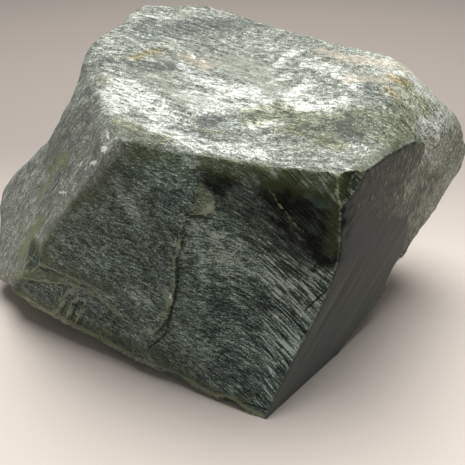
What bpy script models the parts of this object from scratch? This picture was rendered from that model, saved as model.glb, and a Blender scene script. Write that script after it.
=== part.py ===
# Raw jade boulder: a weathered block of nephrite with one fresh break, one sawn side and a flat foot.
# A sphere's vertices are drawn along their own rays to the stone's surface, which is a formula of
# rounded facets, a broken front and flake scars. Plane cuts then make the sawn side and the foot.
import math

import bmesh
import bpy
import numpy as np
from mathutils import Vector, noise

# Lengths are in millimetres until the mesh is scaled to metres.
METRES_PER_MM = 0.001
CORE = np.array([0.0, 0.0, 50.0])
SPHERE_SUBDIVISIONS = 8
START_RADIUS = 60.0
REACH = 150.0
HALVINGS = 22
TRIANGLE_TARGET = 10200

# Each facet faces a direction and lies a distance out from the core.
MAIN_FACETS = {
    "top": ((0.00, -0.20, 0.98), 50.9),
    "top_right": ((0.66, -0.32, 0.68), 76.3),
    "left": ((-0.82, -0.38, 0.42), 63.6),
    "left_back": ((-0.92, 0.39, 0.06), 68.0),
    "back": ((0.04, 0.99, 0.11), 75.2),
    "back_right_shoulder": ((0.50, 0.62, 0.60), 77.4),
    "back_right": ((0.62, 0.78, -0.08), 86.0),
    "right_end": ((0.81, -0.57, -0.16), 61.3),
    "under_right": ((0.73, -0.04, -0.68), 69.8),
    "under_right_low": ((0.24, 0.05, -0.97), 55.0),
    "under_front": ((-0.34, -0.40, -0.85), 65.0),
    "under_back": ((0.05, 0.72, -0.69), 74.0),
}
# The toe is the lower lump that runs out to the left.
TOE_FACETS = {
    "top": ((0.25, -0.10, 0.96), 37.9),
    "left": ((-0.82, -0.38, 0.42), 63.6),
    "toe_back": ((-0.57, 0.33, 0.75), 67.3),
    "toe_end": ((-0.93, 0.34, -0.12), 119.0),
    "back": ((-0.18, 0.97, 0.15), 68.0),
    "right": ((1.0, 0.0, 0.0), 40.0),
    "under_front": ((-0.34, -0.40, -0.85), 65.0),
    "under_back": ((-0.30, 0.66, -0.69), 74.0),
}
WEATHERED_ROUNDING = 1.7
TOE_BLEND = 7.0
BREAK_ROUNDING = 0.35

# The broken front is two flats, each given as a facing direction and a distance out from the point
# under the core. Its depth along y times the lean is nearly its true distance.
FRONT_LEAN = 0.93
FRONT_RIGHT_FLAT = ((-0.31, -0.947, 0.084), 59.7)
FRONT_LEFT_FLAT = ((-0.499, -0.867, -0.002), 53.1)
FLATS_BLEND = 2.5
# Along the top the break turns over a steep lip, a plane given by its facing and distance from the core.
LIP_FACING = (-0.18, -0.857, 0.48)
LIP_DISTANCE = 62.8
LIP_BLEND = 4.0
# The front is scooped in towards the sawn side, deepest at mid height.
SCOOP_DEPTH = 18.5
SCOOP_START_X = -15.0
SCOOP_FULL_X = 35.0
SCOOP_HEIGHT = 92.0
SCOOP_POWER = 1.3
SCOOP_MOST = 1.2

# A slab stands proud on the left of the front. Its right rim is given as heights and x,
# and its lower rim as x and heights.
SLAB_RIM_Z = (20, 25, 31, 39, 46, 57, 60, 70, 73, 74.5, 80, 84, 93)
SLAB_RIM_X = (-30, -26, -23, -21, -19, -19, -17.5, -16, -14.5, -5.6, -5.5, -8.6, -9)
SLAB_HEIGHTS = (20, 45, 70, 90)
SLAB_PROUD = (1.9, 1.9, 1.3, 0.7)
SLAB_FOOT_X = (-80, -68, -59, -51, -46, -39, -31, -24)
SLAB_FOOT_Z = (35, 35, 33.5, 32.5, 27, 23, 21, 17)
# A second flake line runs lower on the left, with a hollow scar below it.
SCAR_LINE_X = (-90, -80, -63, -55, -46, -39)
SCAR_LINE_Z = (22, 25, 29, 29.5, 26, 22)
SCAR_STEP = 1.6
SCAR_END_X = -38.0
SCAR_RIPPLE = 0.55
SCAR_RIPPLE_PITCH = 4.4
SCAR_RIPPLE_X = -63.0
SCAR_RIPPLE_REACH = 9.0
SCAR_RIPPLE_FADE = 8.0
SCAR_RIPPLE_LEAN = 0.45
# A shallow flake is missing under the top edge on the right.
FLAKE_RIM_X = (7, 10, 16, 21, 30, 40)
FLAKE_RIM_Z = (95, 87, 78, 71, 64, 58)
FLAKE_START_X = 7.0
FLAKE_STEP_X = (7, 18, 34)
FLAKE_STEP = (0.9, 0.8, 0.0)
STEP_WIDTH = 0.9

# Each scar is a ball that bites into the stone: its centre and its radius.
SCARS = {
    "corner_notch": ((39.8, -63.2, 88.4), 8.8),
    "right_hook": ((76.0, -8.6, 20.8), 13.4),
    "tip_chip": ((-4.7, -68.4, -4.7), 12.0),
    "lower_edge_bite": ((-31.0, -62.5, -2.0), 19.0),
    "left_lens": ((-87.4, -20.9, 40.6), 14.0),
    "left_ledge": ((-93.4, -18.4, 15.6), 12.0),
    "left_flake": ((-88.2, -12.0, 78.8), 22.0),
}
SCAR_ROUNDING = 0.3
# A soft valley in the rind runs down to the sawn side on the right and is deepest there.
VALLEY_START = (71.5, -12.9, 79.0)
VALLEY_END = (67.0, -9.0, 99.0)
VALLEY_DEPTH = 5.5
VALLEY_REACH = 5.0

# The sawn side and the foot are true planes.
SAW_FACING = Vector((0.769, -0.616, -0.169))
SAW_DISTANCE = 58.4
SAW_ROUGH_MARGIN = 0.15
FOOT_HEIGHT = 0.0

# Relief of the weathered skin and of the break: height, then wavelength.
SKIN_RELIEF = ((1.5, 30.0), (0.75, 13.0), (0.4, 6.0))
BREAK_RELIEF = ((0.5, 24.0), (0.28, 9.0), (0.14, 4.0))
RAGGED_RELIEF = (1.4, 8.0)
NOISE_SEED = 21

JADE_COLOUR = (0.075, 0.098, 0.072, 1.0)
JADE_ROUGHNESS = 0.5


def clear_scene():
    for thing in list(bpy.data.objects):
        bpy.data.objects.remove(thing, do_unlink=True)


def jade_material():
    material = bpy.data.materials.new("jade")
    material.use_nodes = True
    shader = material.node_tree.nodes["Principled BSDF"]
    shader.inputs["Base Color"].default_value = JADE_COLOUR
    shader.inputs["Roughness"].default_value = JADE_ROUGHNESS
    shader.inputs["Metallic"].default_value = 0.0
    return material


def smooth_max(first, second, width):
    # The larger of two values, rounded over the given width where they meet.
    near = np.maximum(width - np.abs(first - second), 0.0) / width
    return np.maximum(first, second) + near ** 2 * width / 4.0


def distances(points, centre):
    return np.linalg.norm(points - np.array(centre), axis=1)


def facet_field(points, facets, rounding):
    # Signed distance outside a rounded block whose faces are the facets.
    offsets = points - CORE
    heights = []
    for facing, distance in facets.values():
        normal = np.array(facing) / np.linalg.norm(facing)
        heights.append((offsets @ normal - distance) / rounding)
    heights = np.array(heights)
    peak = heights.max(axis=0)
    return rounding * (peak + np.log(np.exp(heights - peak).sum(axis=0)))


def step(values):
    # Goes from 0 to 1 as the value, in millimetres, crosses zero.
    ramp = np.clip(values / STEP_WIDTH + 0.5, 0.0, 1.0)
    return ramp * ramp * (3.0 - 2.0 * ramp)


def flat_y(x, z, flat):
    (nx, ny, nz), distance = flat
    return (distance - nx * x - nz * z) / ny


def front_depth(x, z):
    # The y of the broken front over x and z, with its scoop but without its ledges.
    right = flat_y(x, z, FRONT_RIGHT_FLAT)
    across = np.clip((x - SCOOP_START_X) / (SCOOP_FULL_X - SCOOP_START_X), 0.0, SCOOP_MOST)
    up = np.sin(np.pi * np.clip(z / SCOOP_HEIGHT, 0.0, 1.0)) ** SCOOP_POWER
    right = right + SCOOP_DEPTH * across * up
    return smooth_max(right, flat_y(x, z, FRONT_LEFT_FLAT), FLATS_BLEND)


def lip_field(points):
    normal = np.array(LIP_FACING) / np.linalg.norm(LIP_FACING)
    return (points - CORE) @ normal - LIP_DISTANCE


def ledge_depth(x, z):
    # How far the ledges move the broken front back, less than zero where they stand proud.
    in_slab = step(np.interp(z, SLAB_RIM_Z, SLAB_RIM_X) - x)
    in_slab = in_slab * step(z - np.interp(x, SLAB_FOOT_X, SLAB_FOOT_Z))
    depth = -np.interp(z, SLAB_HEIGHTS, SLAB_PROUD) * in_slab
    drop = np.interp(x, SCAR_LINE_X, SCAR_LINE_Z) - z
    in_scar = step(drop) * step(SCAR_END_X - x)
    ripple = SCAR_RIPPLE * np.sin((x - SCAR_RIPPLE_LEAN * z) * 2.0 * math.pi / SCAR_RIPPLE_PITCH)
    ripple = ripple * np.exp(-((x - SCAR_RIPPLE_X) / SCAR_RIPPLE_REACH) ** 2)
    depth = depth + in_scar * (SCAR_STEP + ripple * np.clip(drop / SCAR_RIPPLE_FADE, 0.0, 1.0))
    in_flake = step(z - np.interp(x, FLAKE_RIM_X, FLAKE_RIM_Z)) * step(x - FLAKE_START_X)
    return depth + np.interp(x, FLAKE_STEP_X, FLAKE_STEP) * in_flake


def layered_noise(points, layers, seed_shift):
    shift = Vector((NOISE_SEED + seed_shift, 0.37 * NOISE_SEED, -1.9 * seed_shift))
    total = np.zeros(len(points))
    for height, wavelength in layers:
        samples = [noise.noise(Vector(point) / wavelength + shift) for point in points]
        total += height * np.array(samples)
    return total


def stone_field(points, skin_relief, break_relief, ragged_relief):
    # Signed distance outside the whole stone, before the saw and the foot.
    main = facet_field(points, MAIN_FACETS, WEATHERED_ROUNDING)
    toe = facet_field(points, TOE_FACETS, WEATHERED_ROUNDING)
    field = -smooth_max(-main, -toe, TOE_BLEND) + skin_relief
    field += valley_depth(points)
    x, y, z = points.T
    front = (front_depth(x, z) + ledge_depth(x, z) - y) * FRONT_LEAN
    fracture = smooth_max(front, lip_field(points), LIP_BLEND) + break_relief
    field = smooth_max(field, fracture, BREAK_ROUNDING)
    for centre, radius in SCARS.values():
        bite = radius - distances(points, centre)
        field = smooth_max(field, bite + break_relief + ragged_relief, SCAR_ROUNDING)
    return field


def valley_depth(points):
    start = np.array(VALLEY_START)
    run = np.array(VALLEY_END) - start
    share = np.clip((points - start) @ run / (run @ run), 0.0, 1.0)
    away = np.linalg.norm(points - start - share[:, None] * run, axis=1)
    return VALLEY_DEPTH * (1.0 - share) * np.exp(-((away / VALLEY_REACH) ** 2))


def surface_points(rays):
    # Halves the interval along each ray until it holds the surface.
    none = np.zeros(len(rays))
    skin, fracture, ragged = none, none, none
    for use_relief in (False, True):
        low = np.zeros(len(rays))
        high = np.full(len(rays), REACH)
        for _ in range(HALVINGS):
            middle = (low + high) / 2.0
            points = CORE + rays * middle[:, None]
            outside = stone_field(points, skin, fracture, ragged) > 0.0
            high = np.where(outside, middle, high)
            low = np.where(outside, low, middle)
        points = CORE + rays * low[:, None]
        if not use_relief:
            skin = layered_noise(points, SKIN_RELIEF, 0.0)
            fracture = layered_noise(points, BREAK_RELIEF, 5.0)
            ragged = layered_noise(points, (RAGGED_RELIEF,), 9.0)
    return points


def rough_stone(name):
    shape = bmesh.new()
    bmesh.ops.create_icosphere(shape, subdivisions=SPHERE_SUBDIVISIONS, radius=START_RADIUS)
    rays = np.array([vert.co.normalized() for vert in shape.verts])
    for vert, point in zip(shape.verts, surface_points(rays)):
        vert.co = Vector(point)
    mesh = bpy.data.meshes.new(name)
    shape.to_mesh(mesh)
    shape.free()
    return bpy.data.objects.new(name, mesh)


def cut_flat(mesh, point, facing):
    # Removes what lies past a plane and closes the cut with one flat face.
    shape = bmesh.new()
    shape.from_mesh(mesh)
    everything = shape.verts[:] + shape.edges[:] + shape.faces[:]
    cut = bmesh.ops.bisect_plane(
        shape, geom=everything, dist=0.0001, plane_co=point, plane_no=facing, clear_outer=True
    )
    rim = [item for item in cut["geom_cut"] if isinstance(item, bmesh.types.BMEdge)]
    bmesh.ops.holes_fill(shape, edges=rim, sides=0)
    shape.to_mesh(mesh)
    shape.free()


def lightened(stone, triangles):
    # Collapses edges where the surface is nearly flat and keeps the ledges and ridges.
    modifier = stone.modifiers.new("lighten", "DECIMATE")
    modifier.use_collapse_triangulate = True
    modifier.ratio = triangles / sum(len(face.vertices) - 2 for face in stone.data.polygons)
    graph = bpy.context.evaluated_depsgraph_get()
    mesh = bpy.data.meshes.new_from_object(stone.evaluated_get(graph))
    stone.modifiers.clear()
    return mesh


def stand_on_origin(mesh):
    # Puts the middle of the foot's box at the origin and turns millimetres into metres.
    corners = np.array([vert.co for vert in mesh.vertices])
    low = corners.min(axis=0)
    middle = (low + corners.max(axis=0)) / 2.0
    for vert in mesh.vertices:
        vert.co = (vert.co - Vector((middle[0], middle[1], low[2]))) * METRES_PER_MM


def build_boulder():
    collection = bpy.data.collections.new("raw_jade_boulder")
    bpy.context.scene.collection.children.link(collection)
    boulder = rough_stone("boulder")
    collection.objects.link(boulder)
    saw_point = Vector(CORE) + SAW_FACING.normalized() * SAW_DISTANCE
    rough_saw_point = saw_point + SAW_FACING.normalized() * SAW_ROUGH_MARGIN
    cut_flat(boulder.data, rough_saw_point, SAW_FACING)
    boulder.data = lightened(boulder, TRIANGLE_TARGET)
    cut_flat(boulder.data, saw_point, SAW_FACING)
    cut_flat(boulder.data, Vector((0.0, 0.0, FOOT_HEIGHT)), Vector((0.0, 0.0, -1.0)))
    stand_on_origin(boulder.data)
    boulder.data.materials.clear()
    boulder.data.materials.append(jade_material())
    return boulder


clear_scene()
build_boulder()
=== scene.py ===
# Raw jade boulder: weathered rind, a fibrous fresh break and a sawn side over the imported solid.
import math

import bmesh
import bpy
import numpy as np
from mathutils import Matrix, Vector, kdtree, noise
from mathutils.bvhtree import BVHTree


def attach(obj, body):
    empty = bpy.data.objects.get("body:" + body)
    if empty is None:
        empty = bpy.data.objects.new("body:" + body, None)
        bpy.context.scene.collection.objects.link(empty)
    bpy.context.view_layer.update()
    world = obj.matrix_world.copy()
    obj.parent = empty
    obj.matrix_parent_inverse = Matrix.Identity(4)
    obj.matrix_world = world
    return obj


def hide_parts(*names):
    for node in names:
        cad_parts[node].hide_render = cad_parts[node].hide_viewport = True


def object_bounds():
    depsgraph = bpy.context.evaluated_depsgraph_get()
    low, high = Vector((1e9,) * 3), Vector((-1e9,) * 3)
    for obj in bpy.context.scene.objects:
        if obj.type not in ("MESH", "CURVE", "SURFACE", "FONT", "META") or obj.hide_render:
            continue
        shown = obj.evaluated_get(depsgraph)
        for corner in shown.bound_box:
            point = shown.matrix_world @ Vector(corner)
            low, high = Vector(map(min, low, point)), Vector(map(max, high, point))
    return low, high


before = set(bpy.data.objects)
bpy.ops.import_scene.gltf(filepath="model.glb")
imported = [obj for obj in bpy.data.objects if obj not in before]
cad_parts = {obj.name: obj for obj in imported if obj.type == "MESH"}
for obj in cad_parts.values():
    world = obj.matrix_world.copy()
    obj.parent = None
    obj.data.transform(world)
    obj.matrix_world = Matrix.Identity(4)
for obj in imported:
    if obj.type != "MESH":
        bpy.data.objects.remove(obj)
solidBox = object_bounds()
print("solid loaded", list(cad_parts))

millimetre = 0.001

# Lengths in the dictionaries are millimetres, colours are 0 to 255 as a screen shows them.
camera = {
    "place": (3.359, -278.33, 185.3), "tilt": 61.5,
    "focalPixels": 760.0, "imagePixels": 465.0, "sensor": 36.0, "nearest": 10.0,
}


def linear(red, green, blue):
    # a screen colour as the shader wants it
    parts = []
    for part in (red, green, blue):
        part = part / 255.0
        parts.append(part / 12.92 if part <= 0.04045 else ((part + 0.055) / 1.055) ** 2.4)
    return (*parts, 1.0)


def placed(name, data):
    made = bpy.data.objects.new(name, data)
    bpy.context.scene.collection.objects.link(made)
    return made


def makeCamera():
    lens = bpy.data.cameras.new("photoView")
    lens.sensor_width = camera["sensor"]
    lens.lens = camera["sensor"] * camera["focalPixels"] / camera["imagePixels"]
    lens.clip_start = camera["nearest"] * millimetre
    holder = placed("photoView", lens)
    holder.location = Vector(camera["place"]) * millimetre
    holder.rotation_euler = (math.radians(camera["tilt"]), 0.0, 0.0)
    bpy.context.scene.camera = holder


makeCamera()

# The stone's regions are the same planes as the solid, measured from the core.

stone = {
    "origin": (3.359, -8.33, 0.0),   # where the planes' own origin stands in the row's frame
    "core": (0.0, 0.0, 50.0),
    "mainFacets": {
        "top": ((0.00, -0.20, 0.98), 50.9),
        "topRight": ((0.66, -0.32, 0.68), 76.3),
        "left": ((-0.82, -0.38, 0.42), 63.6),
        "leftBack": ((-0.92, 0.39, 0.06), 68.0),
        "back": ((0.04, 0.99, 0.11), 75.2),
        "backShoulder": ((0.50, 0.62, 0.60), 77.4),
        "backRight": ((0.62, 0.78, -0.08), 86.0),
        "underRight": ((0.73, -0.04, -0.68), 69.8),
        "underLow": ((0.24, 0.05, -0.97), 55.0),
        "underFront": ((-0.34, -0.40, -0.85), 65.0),
        "underBack": ((0.05, 0.72, -0.69), 74.0),
    },
    "toeFacets": {
        "top": ((0.25, -0.10, 0.96), 37.9),
        "left": ((-0.82, -0.38, 0.42), 63.6),
        "toeBack": ((-0.57, 0.33, 0.75), 67.3),
        "toeEnd": ((-0.93, 0.34, -0.12), 119.0),
        "back": ((-0.18, 0.97, 0.15), 68.0),
        "underFront": ((-0.34, -0.40, -0.85), 65.0),
        "underBack": ((-0.30, 0.66, -0.69), 74.0),
    },
    "saw": ((0.769, -0.616, -0.169), 58.4),
    "rightFlat": ((-0.31, -0.947, 0.084), 59.7),
    "leftFlat": ((-0.499, -0.867, -0.002), 53.1),
    "lip": ((-0.18, -0.857, 0.48), 62.8),
    "scoop": {"depth": 18.5, "startX": -15.0, "fullX": 35.0, "height": 92.0, "power": 1.3},
    "slabRimZ": (20, 25, 31, 39, 46, 57, 60, 70, 73, 74.5, 80, 84, 93),
    "slabRimX": (-30, -26, -23, -21, -19, -19, -17.5, -16, -14.5, -5.6, -5.5, -8.6, -9),
    "slabFootX": (-80, -68, -59, -51, -46, -39, -31, -24),
    "slabFootZ": (35, 35, 33.5, 32.5, 27, 23, 21, 17),
    "scarLineX": (-90, -80, -63, -55, -46, -39),
    "scarLineZ": (22, 25, 29, 29.5, 26, 22),
    "scarEndX": -38.0,
    "ledge": 1.6,   # how far the slab stands out and the scar lies back
    "breakSlope": 0.93,   # from depth along y to height over the break
    "freshBites": {
        "cornerNotch": ((39.8, -63.2, 88.4), 8.8),
        "rightHook": ((76.0, -8.6, 20.8), 13.4),
        "tipChip": ((-4.7, -68.4, -4.7), 12.0),
        "lowerBite": ((-31.0, -62.5, -2.0), 19.0),
        "leftLens": ((-87.4, -20.9, 40.6), 14.0),
        "leftLedge": ((-93.4, -18.4, 15.6), 12.0),
    },
}

# Each marking is a half width and places along it, in millimetres of the row's frame, on the surface.

markings = {
    "crust": [
        (6, (-43.4, -19.9, 99.7), (-36.1, -27.2, 99.3)),
        (6, (-38, -16.6, 101.6), (-29, -22, 99.7), (-21.6, -27.8, 98.1)),
        (4.5, (-26.8, -27.1, 98.6), (-19.5, -33.4, 97.2), (-15, -36.2, 96.1)),
        (4.5, (-12.8, -17.6, 100.1), (-2.8, -19, 99.8), (6, -15, 100.3), (11.1, -14.9, 100.3)),
        (4.5, (-8.6, -25.6, 98.4), (2.5, -26.2, 98.3), (14.6, -25.4, 98.7)),
        (4, (-20.7, -39.8, 96), (-14.4, -45.4, 95.4), (-7.1, -50.2, 94.1)),
        (3.4, (-10.4, -47.8, 94.9), (1, -52.4, 94), (12.1, -54.2, 93.3)),
        (3.5, (1.8, -35.8, 95.9), (9.2, -37.8, 96), (17.7, -34.7, 96.2)),
        (2.2, (17.8, 1.1, 104.1), (23, 8.4, 105.4), (28.4, 14.7, 107.2)),
        (1.8, (18.5, -8.1, 101.5), (24.7, -2.3, 103.1)),
        (2.2, (22.3, -19.5, 99.2), (31.3, -7.6, 101.7)),
        (4, (30.7, 4.5, 105), (43.2, -2, 103.8), (48.6, -12.2, 101.7)),
        (3, (21.6, -24.4, 98.3), (37.2, -25.6, 98.8), (42.8, -21.9, 99.7)),
        (3, (-40.2, -10.4, 103.3), (-31.8, -11.8, 102.3)),
        (3, (-17.2, 3.7, 104.8), (-6.7, -7, 102.7), (2.5, -12.5, 101)),
    ],
    "slate": [
        (3, (-30.9, 2.3, 105.2), (-25.4, -1.5, 104.8), (-20, 0.7, 104.5)),
        (2.4, (-50.1, 6.7, 104.4), (-43.1, 6.8, 105.9)),
        (2.6, (-23.6, 4.3, 105.8), (-16.3, 2.3, 104.5), (-9.4, -3.6, 103.2)),
        (3.4, (-16.9, -37.2, 96.1), (-10.7, -41.7, 95.3), (-5.6, -46.4, 94.7)),
        (4, (-6, -33.8, 96.3), (4.2, -36.2, 96.1)),
        (7, (-29.9, 28.6, 109.2), (-14.1, 37.3, 111.1), (6.5, 39.8, 111.7)),
        (4, (-36.3, 32.6, 110.2), (-30.9, 40.9, 112.3)),
        (3.5, (51.5, -12.1, 101.6), (56.7, -20.7, 99.3)),
        (3.5, (41.1, -36.9, 96), (42.9, -44.4, 93.5)),
        (2.4, (-39.1, 4.7, 105.7), (-31.2, 1.4, 105.1)),
    ],
    "calm": [
        (4.5, (-25, -6.4, 103.2), (-18.4, -12.4, 101), (-13.4, -19.7, 99.7), (-8, -23, 99)),
        (6, (6.2, 7.9, 105.5), (14.3, -1.2, 103.6), (16.3, -10, 101)),
        (4.5, (-4.4, 6.6, 105.1), (4.3, -1.6, 103.7)),
    ],
    "yellow": [
        (2.6, (-46.2, -9.2, 103), (-42.2, -11.7, 103)),
        (3.5, (-38.3, -37.4, 96.2), (-30.9, -43.6, 96.1)),
        (2.4, (-21.1, -46.6, 95.5), (-17.8, -47.7, 95.2)),
        (1.8, (-5.4, -40.5, 95.2), (-2.8, -41.2, 95.1)),
        (3.4, (20.2, -39.3, 95.5), (24.4, -40.1, 95.4)),
        (3.2, (33.8, -46.5, 93.4), (38.2, -48.1, 92.6)),
    ],
    "ochre": [
        (2.8, (-34.5, 8.2, 106.3), (-29.6, 12.2, 106.7), (-25.6, 15.7, 106.9)),
    ],
    "cream": [
        (3.4, (-15.7, 12.2, 105.9), (-10.6, 8.7, 105.3), (-6.6, 3.8, 104.8)),
        (3.4, (38.9, 14.7, 106.8), (48, 7.3, 106.1)),
        (3.8, (50.6, 6.4, 106), (57.3, 5.6, 105.4), (64.5, 3.5, 104.9), (67.8, 1.9, 103.4)),
        (2.6, (46, -6.6, 102.9), (58.2, -8, 102.6)),
    ],
    "orange": [
        (2.6, (61.9, -5.9, 102.7), (67.1, -6.3, 101)),
        (2.2, (59.5, -14.3, 100.5), (61.4, -16.4, 99.3)),
    ],
    "olive": [
        (8, (26.1, -34.9, 96.3), (35.8, -40, 94.7), (46.4, -34.4, 96.8)),
        (8, (48.1, -34.2, 96.8), (55.1, -39.6, 94.5), (65.5, -21, 95)),
        (6, (10, -31.8, 97.3), (19.7, -28.1, 97.4)),
        (5.5, (66.4, -8.6, 100.2), (75.8, -8.6, 92.2)),
        (4.5, (-36.9, -37.5, 97.3), (-28.1, -48.2, 95.1), (-23.1, -50.1, 94.8)),
        (4.5, (-38, -41.1, 93.3), (-42.8, -39.4, 86.6), (-48.2, -36.3, 78.5)),
    ],
    "chalk": [
        (0.9, (-14.3, 14.6, 106.4), (-11.1, 11.3, 105.8), (-7.9, 6.8, 105.1)),
        (0.6, (45.6, -46.1, 93.2), (46.9, -51, 92), (47.4, -54.5, 91.1)),
        (1.7, (78.2, -16.1, 82.9), (81, -12.8, 81.2)),
        (1.1, (74.8, -17.2, 77.8), (75.9, -16.7, 76.4)),
        (0.8, (-38.4, -40.3, 93.4), (-37.5, -42.1, 93)),
        (1.1, (-40.5, -42.5, 88.9), (-38.8, -44.3, 90)),
        (0.9, (-46.1, -36.4, 82), (-43.7, -39.8, 83.4)),
        (0.6, (-50.8, -28.8, 78.7), (-49.8, -30.3, 79.7)),
        (0.8, (-49.9, -39.3, 73.1), (-48, -41.2, 74.4)),
        (0.6, (-60.9, -25.2, 64.6), (-57.1, -30.3, 67.1)),
        (0.5, (-42.7, -44.2, 74.6), (-42.4, -44.5, 74.4)),
        (0.8, (-18.1, -59.1, 42.6), (-18, -58.3, 38.4)),
    ],
    "pale": [
        (1.8, (-19.9, -58.1, 42.8), (-18.9, -58.6, 40.7), (-18.3, -58.4, 37.7)),
        (1.2, (-3.3, -61.2, 65.7), (-2, -61.3, 63.5)),
        (1.7, (-0.4, -61.2, 59), (0.2, -61.3, 55.9)),
        (1.5, (-19.8, -53.5, 90.7), (-18.8, -54.9, 88.5)),
        (1.2, (-63.9, -32.4, 44.8), (-62.7, -33.3, 44)),
        (1.1, (-3.6, -65.4, 7.2), (-1.8, -66.3, 7.5)),
        (0.8, (-11.3, -60.7, 9.2), (-10.2, -61.4, 8.4)),
        (1.1, (-4.1, -61.2, 60.1), (-3.1, -61.2, 59.3)),
        (1.4, (-14.3, -60.5, 61.9), (-13.8, -59.5, 59.1), (-14.9, -58.9, 57.2)),
        (1.6, (-12, -55.6, 90.5), (-7.9, -57, 89.7)),
        (1.2, (-32.8, -51.1, 35.8), (-31.4, -51.9, 34.2)),
    ],
    "oliveFlake": [
        (3.4, (-57.9, -19.4, 75.9), (-64.6, -10.3, 69.6), (-67.1, -10.1, 64.5), (-68.9, -10.9, 60.6),
         (-73, -6.1, 54.5)),
        (1.7, (11.3, -60.2, 91.1), (15, -61.1, 90.8)),
        (4.5, (-70.6, -19.7, 49.5), (-76.9, -14.3, 40.4), (-83.6, -8.9, 29.9)),
        (1.8, (-86.1, -13.6, 20.8), (-78.5, -22.2, 25.7)),
        (1.6, (-48, -38.8, 14.3), (-42.7, -41.7, 12.2)),
        (2.6, (-6, -60.3, 82.2), (-4.7, -61, 80.5), (-4.4, -61.6, 77.2)),
        (2.2, (-10.2, -60.7, 76.8), (-8, -61.3, 75.3), (-5.1, -61.9, 74.9)),
        (1.6, (-18.9, -58.6, 41.1), (-19.4, -58.3, 36.7), (-19.4, -56.9, 31.6)),
        (2.4, (-78.3, -22.3, 27.2), (-66.9, -29.4, 30.2), (-57.4, -34.8, 30.4), (-49.1, -39.7, 29.6),
         (-42.4, -45.3, 28.9), (-36.3, -48.9, 25.6)),
    ],
    "lens": [
        (2.9, (-73.8, -20.4, 41.5), (-76.8, -17.8, 36.4), (-79.8, -15.6, 31)),
    ],
    # painted glow: olive light through the thin stone near the edges of the break
    "glow": [
        (3.2, (35.1, -68.7, 82.8), (36.1, -66, 72.7), (36.7, -61.9, 61.3)),
        (2.4, (-83.7, -16.4, 15.3), (-71.8, -24.8, 13.7), (-58.3, -33.3, 12.8), (-45.7, -40, 11),
         (-33.1, -48.7, 11.8), (-25.3, -53.2, 11.6)),
        (3, (-25.3, -53.2, 11.6), (-18.5, -56.7, 9.3), (-10.7, -61.1, 4.9), (-2.6, -65.8, 2.9),
         (6, -70.4, 5)),
        (6, (15.6, -61.9, 89.5), (24.2, -64.2, 88.5), (33.2, -66.8, 86.7)),
        (3.4, (-6.9, -56.6, 90.6), (1, -58.4, 90.7), (8.8, -60.1, 90.4)),
        (4.4, (-33.8, -48.4, 91.7), (-26.4, -51.2, 91.8), (-19.8, -53.3, 91.3)),
        (2.2, (-69.8, -29.5, 38.3), (-63.4, -33.2, 37.9), (-56.3, -37.3, 37.3), (-49, -41.4, 36.4),
         (-42.7, -45.2, 34.9)),
        (1.6, (-13, -55, 91.3), (-12.3, -56.4, 88.8), (-11.4, -57.6, 86.6)),
        (4, (-47.8, -41.4, 72.9), (-57.3, -33.6, 62.5), (-63, -30.9, 55.4), (-67.1, -29.9, 47.2),
         (-68.7, -29.9, 40.3)),
    ],
    "teal": [
        (1.1, (25.8, -66.5, 82.5), (30.4, -67.6, 80.9), (34.1, -68.4, 79.6)),
    ],
    # painted light: lighter patches on the middle of the break, where its face turns up
    "paintedLight": [
        (5, (-5.6, -61.1, 64.6), (4.2, -61.4, 59.1), (13.2, -61.1, 55.1)),
        (5, (15.9, -61, 51.1), (24.6, -61.1, 45.2), (31.6, -61.6, 39.4)),
        (4, (17.9, -63.5, 34.5), (23.2, -65.7, 27.7)),
        (4, (-34.1, -49.3, 77), (-25.9, -54.1, 66.4)),
        (3.4, (10.7, -63, 83.5), (13.2, -64, 80.5), (14.5, -64.3, 78.6)),
        (4, (21, -61.6, 60.3), (25.8, -61, 55.4), (30.1, -60.6, 50.4)),
        (4, (17, -65.1, 28.9), (22.5, -67.4, 23.8)),
        (3, (-10, -60.8, 62.2), (-7.4, -61.3, 57.1), (-5.8, -61.6, 51.4)),
        (5, (-7.2, -60.7, 68.8), (-0.1, -61.3, 60.9), (7.5, -61.2, 52.3)),
    ],
    # painted highlight: pale lines along the ledge rims, where light catches the thin edge
    "rimLine": [
        (0.4, (-92.1, -2.5, 19.4), (-86.6, -10.9, 22.5), (-80.1, -21.1, 27.8)),
        (0.4, (-87.8, -9.9, 21), (-89.2, -10, 17.1), (-86.3, -15, 16.4)),
        (0.4, (-81.9, -18.1, 25.5), (-76.1, -23.7, 28.9), (-71.7, -26.7, 34)),
        (0.5, (-72.7, -20.6, 43.8), (-79.8, -11.3, 35.5), (-82.1, -11.1, 31.2), (-81.6, -14.4, 28.4)),
        (0.5, (-71.9, -22.4, 43.9), (-73.2, -21.1, 38.8), (-75.9, -20.5, 33.9), (-78.1, -20.6, 31.6)),
        (0.35, (-66.9, -3.8, 71), (-68.5, -4.2, 66.5), (-72.5, -0.5, 59.7), (-74.8, -2.3, 53.9)),
        (0.35, (-1.1, -61.3, 60.9), (0.6, -61.3, 60.9), (1.5, -61.3, 57.9), (0.9, -61.4, 54.4)),
        (0.35, (-70.4, -29.3, 36.8), (-64.9, -32.3, 36), (-58.2, -36.2, 35.3), (-53.3, -38.9, 34.8),
         (-48.4, -41.8, 34.4), (-44, -44.4, 33.6), (-42.4, -45.3, 33.3)),
        (0.9, (-89.1, -10.3, 16.8), (-79, -19.9, 13.3), (-69.8, -25.8, 11.9), (-61, -30.8, 10.6),
         (-53.2, -35.5, 9.6)),
        (0.9, (-53.2, -35.5, 9.6), (-44.7, -40.6, 8.1), (-36.5, -45.2, 6.4), (-27.5, -51.9, 6.9),
         (-20.6, -55, 6)),
        (0.9, (-20.6, -55, 6), (-13.7, -59.1, 5.2), (-8.5, -62.4, 4.2), (-3.3, -65.4, 3), (3.2, -69, 5.1)),
        (0.8, (3.2, -69, 5.1), (8.1, -71.6, 2.4), (12.3, -73.6, 1.8)),
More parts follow.
